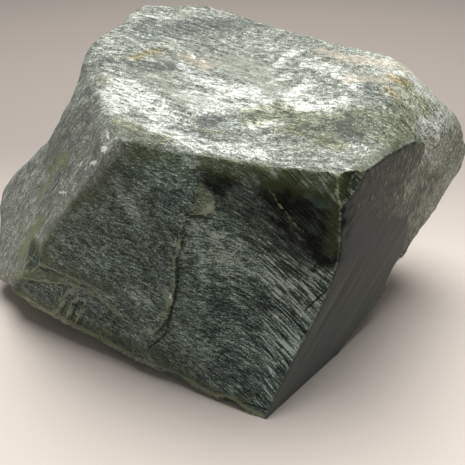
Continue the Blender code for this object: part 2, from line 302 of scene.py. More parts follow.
    ],
    # real cracks, together with painted shadow lines beneath the ledge steps
    "crackAndShadowLine": [
        (0.75, (-11.3, -61.1, 73.6), (-8.7, -60.4, 72.8), (-6.1, -60.7, 72.9)),
        (0.4, (-6.1, -60.7, 72.9), (-3.6, -61.1, 72.3)),
        (0.35, (-1.9, -65.8, 19.5), (-0.5, -65.8, 21.8), (1.3, -65.8, 23), (3, -66, 23.3),
         (5.6, -66.4, 22.4), (7.9, -67.1, 21)),
        (0.4, (7.4, -71.1, 4.4), (11.6, -72.9, 4.2), (15.1, -74.2, 3.8)),
        (0.45, (28.4, -62.2, 38), (31.8, -61.2, 41), (35.2, -60.6, 44.2)),
        (0.45, (-20.1, -56, 24), (-23.8, -54.1, 18.6), (-27.5, -52, 13.9)),
        (0.4, (-61.6, -17.4, 69.4), (-62.1, -20.1, 66.5), (-65.2, -18.2, 62.3)),
        (0.3, (-13.1, -2.1, 103.5), (-9, -3.7, 103.2)),
        (0.35, (-78.5, -20.8, 22.5), (-75.9, -22.2, 23.8)),
        (0.45, (-16, -59.3, 44.4), (-17.2, -57.6, 37.5), (-18.7, -56.8, 31.5), (-20, -56, 25.8)),
    ],
    "shade": [
        (9, (18.5, -64.5, 81.8), (26.3, -66.2, 78.5), (34.1, -66.2, 73.9)),
        (8, (23.5, -64.2, 74.3), (32.2, -63.3, 67.3)),
        (6, (30.4, -63, 65.6), (35.7, -60.9, 57.6)),
        (4, (14.4, -63.9, 83.9), (18.8, -64.5, 80.8)),
        (3.2, (38.7, -63.8, 88.7), (39.6, -63.1, 90.4)),
        (2.6, (37.7, -65.2, 86.6), (38.1, -66.1, 84)),
        (4.5, (-4.4, -58.8, 86.4), (-0.6, -60.4, 84.4)),
    ],
    # painted shade, milder than the darkest shade, spreading the shaded hollow under the lip over the break
    "softShade": [
        (5, (-2, -60.4, 84), (5, -62, 80), (12, -63.5, 74)),
        (5.5, (12, -63.5, 74), (20, -62.8, 66), (29, -61.2, 57)),
        (5, (6, -61.8, 85), (16, -63.8, 84), (27, -65.6, 81)),
    ],
    "rib": [
        (0.9, (-57.5, -34.7, 30), (-59.3, -31.9, 24.5)),
        (1.1, (-59.9, -31.6, 23.8), (-64.1, -29.4, 17.3), (-67.9, -27.1, 12.4)),
        (0.9, (-56.6, -34.1, 24.5), (-58.9, -32.7, 19.5), (-60.8, -31.6, 15)),
        (0.9, (-52.5, -36.3, 24.2), (-54.4, -35.1, 18.3)),
        (0.8, (-62.3, -30.5, 25), (-65.2, -28.6, 19.5)),
        (0.7, (-55.1, -34.7, 27.2), (-56.7, -33.3, 21.3)),
        (1.5, (-72.6, -24.4, 11.4), (-69, -26.3, 10.8), (-63.4, -30.1, 11.5)),
        (0.7, (-44.2, -40.9, 23.2), (-47.5, -39.1, 18.8)),
        (0.5, (42.2, -62.7, 89.2), (40.5, -63.2, 86.7), (38.8, -65.5, 84), (37.3, -68.6, 81.8)),
        (0.7, (-86.7, -14.9, 14.4), (-79, -19.9, 13.3), (-71.5, -25, 12.4)),
        (1, (-6.1, -60.7, 73.5), (-3.8, -62.1, 75.3), (-2.8, -61.9, 77.4)),
        (1.5, (66.9, 5.8, 104.6), (76.2, 2.7, 97), (82.7, 0.6, 89.8), (89.6, 2.8, 83.3), (95.6, 9.6, 75.4)),
        (1.3, (76.8, -16.3, 84.5), (82.4, -11, 79.7)),
    ],
}

roughSaw = {   # the sawn side is rough above this line: distance along the cut, then height
    "along": (-40, -31, -26, -16.5, -10, -4.4, 0, 9, 20, 29, 33, 36, 40),
    "height": (90, 84, 81, 75, 67, 63.3, 63, 60.4, 55.8, 51.6, 42, 30, 0),
}

skin = {
    "voxel": 0.98,
    "footHeight": 0.02,   # points lower than this lie in the flat foot
    "footShare": 0.87,   # what is left after the foot is thinned
    "sharpAngle": 30.0,   # edges of the solid sharper than this stay crisp
    "lineStep": 0.3,   # from spot to spot along a crisp edge
    "spot": 0.05,
    "snap": 0.42,   # points nearer than this move onto a crisp edge
    "smoothing": 7,
    "push": (0.5, -0.52),   # in and out again, so that smoothing doesn't shrink the stone
    "softSpan": 1.8,   # smoothing has its full strength this far from a crisp edge
}


def smoothStep(values, low, high):
    ramp = np.clip((values - low) / (high - low), 0.0, 1.0)
    return ramp * ramp * (3.0 - 2.0 * ramp)


def facetHeight(points, facets):
    offsets = points - np.array(stone["core"])
    heights = [offsets @ (np.array(facing) / np.linalg.norm(facing)) - reach
               for facing, reach in facets.values()]
    return np.array(heights).max(axis=0)


def flatDepth(x, z, flat):
    (nx, ny, nz), reach = flat
    return (reach - nx * x - nz * z) / ny


def breakDepth(x, z):
    scoop = stone["scoop"]
    across = np.clip((x - scoop["startX"]) / (scoop["fullX"] - scoop["startX"]), 0.0, 1.2)
    up = np.sin(np.pi * np.clip(z / scoop["height"], 0.0, 1.0)) ** scoop["power"]
    right = flatDepth(x, z, stone["rightFlat"]) + scoop["depth"] * across * up
    return np.maximum(right, flatDepth(x, z, stone["leftFlat"]))


def ledges(x, z):
    def past(gap):
        return smoothStep(gap, -0.5, 0.5)

    inSlab = past(np.interp(z, stone["slabRimZ"], stone["slabRimX"]) - x)
    inSlab = inSlab * past(z - np.interp(x, stone["slabFootX"], stone["slabFootZ"]))
    inScar = past(np.interp(x, stone["scarLineX"], stone["scarLineZ"]) - z)
    return inSlab, inScar * past(stone["scarEndX"] - x)


def mergedCopy(node):
    shape = bmesh.new()
    shape.from_mesh(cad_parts[node].data)
    bmesh.ops.remove_doubles(shape, verts=shape.verts[:], dist=0.01 * millimetre)
    mesh = bpy.data.meshes.new("stoneLines")
    shape.to_mesh(mesh)
    tree = BVHTree.FromBMesh(shape)
    crisp = []
    for edge in shape.edges:
        if len(edge.link_faces) == 2 and math.degrees(edge.calc_face_angle()) > skin["sharpAngle"]:
            start, end = edge.verts[0].co, edge.verts[1].co
            count = max(2, int((end - start).length / (skin["lineStep"] * millimetre)))
            crisp += [start.lerp(end, step / count) for step in range(count + 1)]
    shape.free()
    return mesh, tree, crisp


def triangleCount(mesh):
    return sum(len(face.vertices) - 2 for face in mesh.polygons)


def evaluatedMesh(thing):
    graph = bpy.context.evaluated_depsgraph_get()
    return bpy.data.meshes.new_from_object(thing.evaluated_get(graph))


def readRows(items, name, width, kind=float):
    rows = np.empty(len(items) * width, dtype=kind)
    items.foreach_get(name, rows)
    return rows.reshape(-1, width)


def readPlaces(mesh):
    return readRows(mesh.vertices, "co", 3)


def readPairs(mesh):
    return readRows(mesh.edges, "vertices", 2, np.int64)


def neighbourMean(values, pairs):
    count = len(values)
    shares = np.bincount(pairs.ravel(), minlength=count)
    columns = []
    for column in np.atleast_2d(values.T):
        total = np.bincount(pairs[:, 0], weights=column[pairs[:, 1]], minlength=count)
        total += np.bincount(pairs[:, 1], weights=column[pairs[:, 0]], minlength=count)
        columns.append(total / np.maximum(shares, 1))
    return np.array(columns).T if values.ndim == 2 else columns[0]


def blurred(values, pairs, times):
    for _ in range(times):
        values = 0.5 * values + 0.5 * neighbourMean(values, pairs)
    return values


def writePlaces(mesh, places):
    mesh.vertices.foreach_set("co", places.ravel())
    mesh.update()


def writeMark(mesh, name, values):
    mark = mesh.attributes.new(name, "FLOAT", "POINT")
    mark.data.foreach_set("value", np.asarray(values, dtype=np.float32))


def nearestDistance(points, targets):
    tree = kdtree.KDTree(len(targets))
    for index, target in enumerate(targets):
        tree.insert(target, index)
    tree.balance()
    found = [tree.find(point) for point in points]
    return np.array([item[2] for item in found]), np.array([item[0] for item in found])


def thinnedFoot(fine):
    # few faces are enough inside the flat foot
    foot = np.flatnonzero(readPlaces(fine)[:, 2] < skin["footHeight"] * millimetre)
    holder = placed("thinnedStone", fine)
    group = holder.vertex_groups.new(name="underside")
    group.add([int(index) for index in foot], 1.0, "REPLACE")
    thin = holder.modifiers.new("thin", "DECIMATE")
    thin.ratio = skin["footShare"]
    thin.vertex_group = "underside"
    mesh = evaluatedMesh(holder)
    bpy.data.objects.remove(holder)
    return mesh


def fineStone(node):
    # a dense even mesh on the solid's surface, crisp along its sharp edges
    coarse, surface, crisp = mergedCopy(node)
    holder = placed("fineStone", coarse)
    remesh = holder.modifiers.new("even", "REMESH")
    remesh.mode = "VOXEL"
    remesh.voxel_size = skin["voxel"] * millimetre
    remesh.adaptivity = 0.0
    fine = evaluatedMesh(holder)
    bpy.data.objects.remove(holder)
    pairs = readPairs(fine)
    places = readPlaces(fine)
    places = np.array([surface.find_nearest(Vector(place))[0] for place in places])
    away, lines = nearestDistance(places, crisp)
    away = away / millimetre
    onLine = np.flatnonzero(away < skin["snap"])
    # two points that meet would fold the mesh, so each spot of a line takes only its nearest one
    onLine = onLine[np.argsort(away[onLine], kind="stable")]
    spots = np.round(lines[onLine] / (skin["spot"] * millimetre))
    _, nearest = np.unique(spots, axis=0, return_index=True)
    onLine = onLine[nearest]
    places[onLine] = lines[onLine]
    loose = smoothStep(away, skin["snap"], skin["softSpan"])[:, None]
    for _ in range(skin["smoothing"]):
        for push in skin["push"]:
            places = places + push * loose * (neighbourMean(places, pairs) - places)
    writePlaces(fine, places)
    fine = thinnedFoot(fine)
    print("fine stone", len(fine.vertices), "points", triangleCount(fine), "triangles")
    return fine


def wavy(points, wavelength, shift):
    return np.array([noise.noise(Vector(point) / wavelength + Vector((shift, 0.3 * shift, -shift)))
                     for point in points])


def strokeDistance(points, normals, stroke, reach):
    # how far each point is from a marking, and on which side of it
    away = np.full(len(points), reach)
    side = np.full(len(points), reach)
    for start, end in zip(stroke[1:], stroke[2:]):
        start, end = np.array(start), np.array(end)
        low, high = np.minimum(start, end) - reach, np.maximum(start, end) + reach
        near = np.flatnonzero(((points > low) & (points < high)).all(axis=1))
        if not len(near):
            continue
        run = end - start
        share = np.clip(((points[near] - start) @ run) / (run @ run), 0.0, 1.0)
        gap = points[near] - (start + share[:, None] * run)
        length = np.linalg.norm(gap, axis=1)
        turn = np.sign(np.einsum("ij,ij->i", np.cross(run, gap), normals[near]))
        closer = length < away[near]
        away[near[closer]] = length[closer]
        side[near[closer]] = (length * np.where(turn == 0.0, 1.0, turn))[closer]
    return away, side


strokeLook = {
    "thin": ("rimLine", "crackAndShadowLine"), "thinReach": 3.0,
    "bend": 1.6, "bendLength": 4.5,   # broad strokes wander sideways
    "fade": (0.5, 1.3),   # from full to nothing, in half widths
}


def markStrokes(fine, points, normals):
    # broad markings become soft amounts, thin ones become distances that stay crisp in the shader
    count, reach = len(points), strokeLook["thinReach"]
    wobble = 1.0 + 0.5 * wavy(points, 3.4, 41.0) + 0.35 * wavy(points, 1.6, 47.0)
    sideways = np.array([wavy(points, strokeLook["bendLength"], shift) for shift in (51.0, 54.0, 57.0)]).T
    bent = points + strokeLook["bend"] * sideways
    for name, strokes in markings.items():
        if name in strokeLook["thin"]:
            away, side = np.full(count, reach), np.full(count, reach)
            for stroke in strokes:
                newAway, newSide = strokeDistance(points, normals, stroke, reach)
                closer = newAway < away
                away = np.where(closer, newAway, away)
                # counted in half widths, so that a wider line reaches further
                side = np.where(closer, newSide / stroke[0], side)
            writeMark(fine, name + "Away", away)
            writeMark(fine, name + "Side", side)
            continue
        amount = np.zeros(count)
        for stroke in strokes:
            away, _ = strokeDistance(bent, normals, stroke, 2.2 * stroke[0] + 1.0)
            amount = np.maximum(amount, 1.0 - smoothStep(away * wobble / stroke[0], *strokeLook["fade"]))
        writeMark(fine, name, amount)


regions = {
    "breakLift": 0.4,   # the break reaches this far past its own planes
    "wrap": 3.2,   # and this much further onto the left face, half way up
    "leftSoftness": 1.2,   # its border is softer there too
    "thinReach": 5.0,   # painted olive glow in from the thin edge of the break, standing in for light through thin stone
    "fringeReach": 4.5,   # dark olive in from the sawn rim
    "fallOff": 1.4,
    "cutAlong": (0.625, 0.780),   # the direction of the cut, seen from above
    "cutRagged": 3.0,
}


def brokenShare(points, ragged):
    x, y, z = points.T
    inSlab, inScar = ledges(x, z)
    depth = breakDepth(x, z) - stone["ledge"] * inSlab + stone["ledge"] * inScar
    breakHeight = np.maximum(stone["breakSlope"] * (depth - y), facetHeight(points, {"lip": stone["lip"]}))
    rindHeight = np.minimum(facetHeight(points, stone["mainFacets"]), facetHeight(points, stone["toeFacets"]))
    wrap = smoothStep(z, 40.0, 52.0) * smoothStep(-z, -78.0, -66.0) * smoothStep(-x, 35.0, 48.0)
    fade = 0.7 + regions["leftSoftness"] * smoothStep(-x, 28.0, 42.0) * smoothStep(z, 35.0, 50.0)
    lift = ragged + regions["wrap"] * wrap + regions["breakLift"]
    broken = smoothStep((breakHeight - rindHeight + lift) / fade, -1.0, 1.0)
    for centre, radius in stone["freshBites"].values():
        gap = np.linalg.norm(points - np.array(centre), axis=1) - radius
        broken = np.maximum(broken, 1.0 - smoothStep(gap, 0.3, 1.0))
    return broken


def upwardShare(points, ragged):
    # the top of the block counts in full, the top of the toe by half
    block, toe = stone["mainFacets"], stone["toeFacets"]
    tops = {name: block[name] for name in ("top", "topRight", "backShoulder")}
    others = {name: facet for name, facet in block.items() if name not in tops}
    toeTops = {name: toe[name] for name in ("top", "toeBack")}
    overOthers = facetHeight(points, tops) - facetHeight(points, others)
    isTop = smoothStep(overOthers + 1.2 * ragged + 1.2, -2.4, 2.4)
    onToe = smoothStep(facetHeight(points, block) - facetHeight(points, toe), -2.0, 2.0)
    overLeft = facetHeight(points, toeTops) - facetHeight(points, {"left": block["left"]})
    return isTop * (1.0 - onToe) + 0.5 * smoothStep(overLeft, -1.5, 1.5) * onToe


def nearShare(points, chosen, reach):
    # falls off with the distance from the chosen points
    away, _ = nearestDistance(points, points[chosen])
    return np.exp(-(away / reach) ** regions["fallOff"])


def markRegions(fine, pairs):
    # how much each point belongs to the break, the sawn side and the rind
    normals = blurred(readRows(fine.vertex_normals, "vector", 3), pairs, 3)
    inRow = readPlaces(fine) / millimetre
    points = inRow - np.array(stone["origin"])
    x, _, z = points.T
    ragged = 0.7 * wavy(points, 5.0, 3.0) + 0.4 * wavy(points, 2.0, 4.0)
    sawn = smoothStep(facetHeight(points, {"saw": stone["saw"]}), -0.25, -0.08)
    broken = brokenShare(points, ragged) * (1.0 - sawn)
    bulge = np.einsum("ij,ij->i", points - blurred(points, pairs, 6), normals)
    border = (broken > 0.35) & (broken < 0.9) & ((z > 60.0) | (x < -40.0)) & (sawn < 0.1)
    first, second = pairs.T
    sawRim = (np.abs(sawn[first] - sawn[second]) > 0.4) & (z[first] > 60.0)
    sawRim &= broken[first] + broken[second] < 0.5
    east, north = regions["cutAlong"]
    along = east * inRow[:, 0] + north * inRow[:, 1]
    roughGap = inRow[:, 2] - np.interp(along, roughSaw["along"], roughSaw["height"])
    drawnUp = points * np.array((1.0, 1.0, 0.25))
    marks = {
        "broken": broken,
        "sawn": sawn,
        "foot": 1.0 - smoothStep(z, 0.02, 0.4),
        "upward": upwardShare(points, ragged),
        "edge": smoothStep(bulge, 0.03, 0.3),
        "hollow": smoothStep(-bulge, 0.03, 0.3),
        "thin": nearShare(points, border, regions["thinReach"]) * broken,
        "fringe": nearShare(points, first[sawRim], regions["fringeReach"]),
        "rough": smoothStep(roughGap + regions["cutRagged"] * wavy(drawnUp, 2.2, 8.0), -0.8, 0.8),
    }
    for name, values in marks.items():
        writeMark(fine, name, values)
    markStrokes(fine, inRow, normals)
    print("regions marked", int(broken.sum()), "points on the break", int(sawn.sum()), "sawn")


# Helpers for nodes.

def addNode(tree, kind, links=None, **settings):
    made = tree.nodes.new(kind)
    for name, value in settings.items():
        setattr(made, name, value)
    for socket, value in (links or {}).items():
        if isinstance(value, bpy.types.NodeSocket):
            tree.links.new(value, made.inputs[socket])
        else:
            made.inputs[socket].default_value = value
    return made


def math2(tree, operation, first, second=0.0, third=None):
    links = {0: first, 1: second}
    if third is not None:
        links[2] = third
    return addNode(tree, "ShaderNodeMath", links, operation=operation).outputs[0]


def product(tree, first, *others):
    for other in others:
        first = math2(tree, "MULTIPLY", first, other)
    return first


def total(tree, start, *parts):
    # start plus each value times its gain
    for value, gain in parts:
        start = math2(tree, "MULTIPLY_ADD", value, gain, start)
    return start


def between(tree, share, first, second):
    return addNode(tree, "ShaderNodeMix", {0: share, 2: first, 3: second}).outputs[0]


def ramp(tree, value, low, high, toLow=0.0, toHigh=1.0, smooth=True):
    kind = "SMOOTHSTEP" if smooth else "LINEAR"
    made = addNode(tree, "ShaderNodeMapRange", {0: value, 1: low, 2: high, 3: toLow, 4: toHigh},
                   interpolation_type=kind)
    return made.outputs[0]


def turnTo(along):
    # the rotation that lays a direction on the x axis
    x, y, z = np.array(along) / np.linalg.norm(along)
    turn = -math.asin(y)
    return (0.0, math.asin(max(-1.0, min(1.0, z / math.cos(turn)))), turn)


def stretched(tree, place, along, lengths, seed):
    # coordinates whose unit measures the two lengths, in millimetres, along and across a direction
    long, wide = (1.0 / (length * millimetre) for length in lengths)
    turned = addNode(tree, "ShaderNodeMapping", {"Vector": place, "Rotation": turnTo(along)},
                     vector_type="POINT")
    return addNode(tree, "ShaderNodeMapping", {"Vector": turned.outputs[0], "Scale": (long, wide, wide),
                                              "Location": (seed, -0.7 * seed, 0.4 * seed)}).outputs[0]


def grain(tree, place, along, lengths, seed, detail=3.0, roughness=0.55, distortion=0.0):
    # noise from -1 to 1
    sized = stretched(tree, place, along, lengths, seed)
    made = addNode(tree, "ShaderNodeTexNoise", {"Vector": sized, "Scale": 1.0, "Detail": detail,
                                               "Roughness": roughness, "Distortion": distortion},
                   noise_dimensions="3D")
    return math2(tree, "MULTIPLY_ADD", made.outputs[0], 2.0, -1.0)


def dots(tree, place, along, lengths, seed, size, share):
    # scattered small marks, one in some of the cells
    cells = addNode(tree, "ShaderNodeTexVoronoi", {"Vector": stretched(tree, place, along, lengths, seed),
                                                  "Scale": 1.0})
    chosen = addNode(tree, "ShaderNodeSeparateColor", {0: cells.outputs["Color"]}).outputs
    reach = total(tree, 0.4 * size, (chosen[1], size))
    reach = product(tree, math2(tree, "LESS_THAN", chosen[0], share), reach)
    return ramp(tree, math2(tree, "SUBTRACT", cells.outputs["Distance"], reach), 0.06, -0.06)


def scales(tree, place, along, lengths, seed):
    # small ragged flakes, hollow in the middle, each at its own height
    sized = stretched(tree, place, along, lengths, seed)
    ragged = addNode(tree, "ShaderNodeTexNoise", {"Vector": sized, "Scale": 1.7, "Detail": 4.0})
    moved = addNode(tree, "ShaderNodeVectorMath", {0: ragged.outputs["Color"], 1: (1.6, 1.6, 1.6), 2: sized},
                    operation="MULTIPLY_ADD").outputs[0]
    cells = addNode(tree, "ShaderNodeTexVoronoi", {"Vector": moved, "Scale": 1.0})
    own = addNode(tree, "ShaderNodeSeparateColor", {0: cells.outputs["Color"]}).outputs[0]
    return total(tree, -1.0, (cells.outputs["Distance"], 1.6), (own, 0.7))


def colourRamp(tree, value, stops):
    made = addNode(tree, "ShaderNodeValToRGB", {0: value})
    points = made.color_ramp.elements
    while len(points) < len(stops):
        points.new(0.5)
    for point, (place, colour) in zip(points, stops):
        point.position = place
        point.color = linear(*colour)
    return made.outputs[0]


def blend(tree, amount, first, second, kind="MIX"):
    made = addNode(tree, "ShaderNodeMix", {0: amount, 6: first, 7: second}, data_type="RGBA", blend_type=kind)
    return made.outputs[2]


def mark(tree, name):
    return addNode(tree, "ShaderNodeAttribute", attribute_name=name).outputs["Fac"]


# Relief that follows the surface.

relief = {
    "Rind pits": 0.42, "Rind pit size": 4.2,
    "Rind layers": 0.30, "Layer length": 16.0, "Layer width": 3.2,
    "Rind swells": 0.8, "Swell size": 13.0,
    "Fibre height": 0.30, "Fibre length": 11.0, "Fibre width": 2.3,
    "Seed": 7.0,
}


def reliefTree():
    tree = bpy.data.node_groups.new("stoneRelief", "GeometryNodeTree")
    face = tree.interface
    face.new_socket("Geometry", in_out="INPUT", socket_type="NodeSocketGeometry")
    for name, value in relief.items():
        socket = face.new_socket(name, in_out="INPUT", socket_type="NodeSocketFloat")
        socket.default_value = value
    face.new_socket("Material", in_out="INPUT", socket_type="NodeSocketMaterial")
    face.new_socket("Geometry", in_out="OUTPUT", socket_type="NodeSocketGeometry")
    given = tree.nodes.new("NodeGroupInput").outputs
    end = tree.nodes.new("NodeGroupOutput")
    place = tree.nodes.new("GeometryNodeInputPosition").outputs[0]
    normal = tree.nodes.new("GeometryNodeInputNormal").outputs[0]

    def named(name):
        made = addNode(tree, "GeometryNodeInputNamedAttribute", {"Name": name}, data_type="FLOAT")
        return made.outputs["Attribute"]

    def layered(where, turn, length, width, shift):
        turned = addNode(tree, "ShaderNodeVectorRotate", {"Vector": where, "Rotation": turn},
                         rotation_type="EULER_XYZ").outputs[0]
        along, across = (math2(tree, "DIVIDE", 1.0 / millimetre, given[name]) for name in (length, width))
        scale = addNode(tree, "ShaderNodeCombineXYZ", {0: along, 1: across, 2: across}).outputs[0]
        sized = addNode(tree, "ShaderNodeVectorMath", {0: turned, 1: scale}, operation="MULTIPLY").outputs[0]
        seed = math2(tree, "ADD", given["Seed"], shift)
        made = addNode(tree, "ShaderNodeTexNoise", {"Vector": sized, "W": seed, "Scale": 1.0, "Detail": 2.0,
                                                   "Roughness": 0.5}, noise_dimensions="4D")
        return ramp(tree, made.outputs[0], 0.25, 0.75, smooth=False)

    broken = named("broken")
    flat = math2(tree, "MAXIMUM", named("sawn"), named("foot"))
    rind = math2(tree, "MAXIMUM", total(tree, 1.0, (broken, -1.0), (flat, -1.0)), 0.0)
    rough = ramp(tree, named("upward"), 0.0, 1.0, 0.45, 1.0)
    pits = layered(place, (0.2, 0.1, 0.4), "Rind pit size", "Rind pit size", 1.0)
    layers = layered(place, (0.0, 0.0, 0.5), "Layer length", "Layer width", 2.0)
    swells = layered(place, (0.5, 0.3, 0.0), "Swell size", "Swell size", 4.0)
    pitted = total(tree, 0.0, (pits, given["Rind pits"]), (layers, given["Rind layers"]),
                   (swells, given["Rind swells"]))
    apart = addNode(tree, "ShaderNodeSeparateXYZ", {0: place}).outputs
    ahead = addNode(tree, "ShaderNodeCombineXYZ", {0: apart[0], 2: apart[2]}).outputs[0]
    fibres = layered(ahead, (0.0, -0.5, 0.0), "Fibre length", "Fibre width", 3.0)
    onRind = product(tree, pitted, rind, rough)
    onBreak = product(tree, fibres, given["Fibre height"], broken)
    depth = product(tree, math2(tree, "ADD", onRind, onBreak), -millimetre)
    offset = addNode(tree, "ShaderNodeVectorMath", {0: normal, "Scale": depth}, operation="SCALE").outputs[0]
    moved = addNode(tree, "GeometryNodeSetPosition", {"Geometry": given["Geometry"], "Offset": offset})
    whole = addNode(tree, "GeometryNodeRealizeInstances", {0: moved.outputs[0]})
    finished = addNode(tree, "GeometryNodeSetMaterial", {"Geometry": whole.outputs[0],
                                                         "Material": given["Material"]})
    tree.links.new(finished.outputs[0], end.inputs[0])
    return tree


def withRelief(fine, material):
    holder = placed("stoneForRelief", fine)
    modifier = holder.modifiers.new("relief", "NODES")
    tree = reliefTree()
    modifier.node_group = tree
    for item in tree.interface.items_tree:
        if item.in_out == "INPUT" and item.name in relief:
            modifier[item.identifier] = relief[item.name]
        if item.in_out == "INPUT" and item.name == "Material":
            modifier[item.identifier] = material
    mesh = evaluatedMesh(holder)
    bpy.data.objects.remove(holder)
    return mesh


# Colours of the stone, and of the painted shade, light, glow and highlights laid on it.

jade = {
    "top": ((0.0, (56, 62, 56)), (0.3, (110, 115, 102)), (0.55, (157, 160, 147)), (0.8, (204, 207, 198)),
            (1.0, (236, 238, 232))),
    "side": ((0.0, (64, 70, 65)), (0.4, (106, 111, 103)), (0.7, (140, 145, 133)), (1.0, (202, 206, 192))),
    "break": ((0.0, (8, 12, 9)), (0.3, (43, 56, 48)), (0.55, (88, 107, 97)), (0.8, (143, 161, 150)),
              (1.0, (198, 207, 197))),
    "saw": ((0.0, (24, 29, 28)), (0.5, (40, 46, 44)), (1.0, (88, 94, 90))),
    "roughSaw": ((0.0, (10, 13, 9)), (0.45, (36, 41, 35)), (0.75, (80, 86, 74)), (1.0, (164, 169, 152))),
    "slate": (198, 208, 217), "yellow": (236, 230, 190), "ochre": (250, 226, 176), "cream": (252, 238, 222),
    "orange": (250, 221, 186), "olive": (210, 214, 174), "chalk": (238, 238, 226), "pale": (134, 148, 134),
    "oliveFlake": (124, 132, 97), "lens": (66, 74, 46), "glow": (72, 80, 46), "teal": (96, 128, 118),
    "rib": (160, 166, 150), "shade": (70, 74, 68), "softShade": (150, 154, 148), "edge": (152, 160, 122),
    "rimLine": (150, 158, 120), "crackAndShadowLine": (12, 14, 10),
}

tones = {   # how light each region is before its noises, from the low end of its colours to the high end
    "top": 0.35, "side": 0.56, "break": 0.465, "saw": 1.0, "roughSaw": 0.4,
    "sawFall": -8.6,   # for each metre of height
}

strengths = {   # how much each marking shows
    "top": {"slate": 0.5, "yellow": 0.55, "ochre": 0.75, "cream": 0.8, "orange": 0.85, "olive": 0.65},
    "rind": {"oliveFlake": 0.9, "cream": 0.15, "rib": 0.7, "fringe": 0.65},
    "break": {"softShade": 0.9, "shade": 0.95, "teal": 0.35, "thin": 0.5, "glow": 0.5, "oliveFlake": 0.45,
              "lens": 0.7, "pale": 0.5, "rib": 0.8, "hollowDark": 0.75},
    "whole": {"chalk": 1.0, "crackAndShadowLine": 0.85},
}

finish = {
    "rindRoughness": 0.62, "breakRoughness": 0.4, "sawRoughness": 0.5,
    "shine": 0.5, "breakShine": -0.2, "sawShine": -0.3, "shadeShine": -0.2,
    "bumpHeight": 0.45,
}


def painted(tree, base, amount, name, kind="MIX"):
    return blend(tree, amount, base, linear(*jade[name]), kind)


def cover(tree, base, name, strength, kind="MIX"):
    return painted(tree, base, product(tree, mark(tree, name), strength), name, kind)


def crumble(tree, base, name, strength, grains):
    # as cover, broken up by the grain
    there = mark(tree, name)
    held = ramp(tree, total(tree, there, (grains["speck"], 0.9), (grains["grit"], 0.6)), 0.35, 0.85)
    return painted(tree, base, product(tree, held, there, strength), name)


def drawnLine(tree, base, name, strength, width):
    inside = math2(tree, "LESS_THAN", math2(tree, "ABSOLUTE", mark(tree, name + "Side")), width)
    nearby = math2(tree, "LESS_THAN", mark(tree, name + "Away"), 1.1)
    return painted(tree, base, product(tree, inside, nearby, strength), name)


def sharedGrains(tree, place):
    return {
        "speck": grain(tree, place, (1.0, 0.2, 0.1), (1.1, 0.8), 9.0, detail=2.0, roughness=0.6),
        "grit": grain(tree, place, (0.4, 1.0, 0.1), (0.55, 0.5), 15.0, detail=1.0),
        "blotch": grain(tree, place, (1.0, -0.4, 0.0), (3.6, 2.4), 11.0),
        "cloud": grain(tree, place, (1.0, -0.3, 0.0), (34.0, 22.0), 3.0, detail=4.0),
    }


def rindLook(tree, place, x, z, grains):
    # white crust in layers over green grey, with short dark dashes and white specks
    speck, grit, blotch, cloud = grains.values()
    leftLayers = grain(tree, place, (1.0, -0.55, -0.11), (8.5, 1.5), 5.0, detail=4.0, roughness=0.6)
    rightLayers = grain(tree, place, (1.0, -0.1, 0.0), (4.0, 1.8), 6.0, detail=4.0, roughness=0.65)
    endLayers = grain(tree, place, (0.64, -0.24, -0.73), (4.4, 1.1), 7.0, detail=4.0, roughness=0.6)
    layers = between(tree, ramp(tree, x, -0.01, 0.02), leftLayers, rightLayers)
    layers = between(tree, ramp(tree, x, 0.035, 0.06), layers, endLayers)
    # crisp islands where the crust has flaked
    islands = grain(tree, place, (1.0, -0.35, 0.0), (3.4, 1.3), 17.0, roughness=0.6, distortion=0.8)
    islands = ramp(tree, islands, -0.1, 0.1)
    crust = mark(tree, "crust")
    onBevel, farEnd = ramp(tree, x, 0.045, 0.075), ramp(tree, x, 0.072, 0.09)
    darkDots = dots(tree, place, (1.0, -0.55, -0.11), (2.8, 0.9), 51.0, 0.4, 0.4)
    paleDots = dots(tree, place, (1.0, -0.2, 0.0), (2.0, 1.5), 53.0, 0.34, 0.35)
    topTone = total(tree, tones["top"], (cloud, 0.25), (layers, 0.7), (blotch, 0.3), (speck, 0.45),
                    (grit, 0.65), (onBevel, 0.28), (farEnd, -0.25), (crust, 0.18), (islands, 0.07),
                    (product(tree, islands, crust), 0.28), (mark(tree, "slate"), -0.12),
                    (mark(tree, "olive"), -0.1), (darkDots, -0.28), (paleDots, 0.2))
    topTone = between(tree, product(tree, mark(tree, "calm"), 0.45), topTone, 0.52)
    top = colourRamp(tree, topTone, jade["top"])
    for name, strength in strengths["top"].items():
        top = cover(tree, top, name, strength, "MULTIPLY")
    brushed = grain(tree, place, (0.45, -0.3, 0.84), (7.0, 1.7), 13.0, roughness=0.6)
    sideTone = total(tree, tones["side"], (cloud, 0.35), (brushed, 0.6), (blotch, 0.3), (speck, 0.4),
                     (grit, 0.5), (paleDots, 0.2))
    onRind = strengths["rind"]
    side = colourRamp(tree, sideTone, jade["side"])
    side = crumble(tree, side, "oliveFlake", onRind["oliveFlake"], grains)
    rind = blend(tree, mark(tree, "upward"), side, top)
    rind = cover(tree, rind, "cream", onRind["cream"])
    rind = crumble(tree, rind, "rib", onRind["rib"], grains)
    fringe = ramp(tree, total(tree, mark(tree, "fringe"), (speck, 0.5), (blotch, 0.5)), 0.3, 0.8)
    rind = painted(tree, rind, product(tree, fringe, onRind["fringe"]), "glow")
    return {
        "colour": rind,
        "roughness": total(tree, finish["rindRoughness"], (speck, 0.15)),
        "height": total(tree, 0.0, (layers, 0.5), (speck, 0.4), (grit, 0.25)),
    }


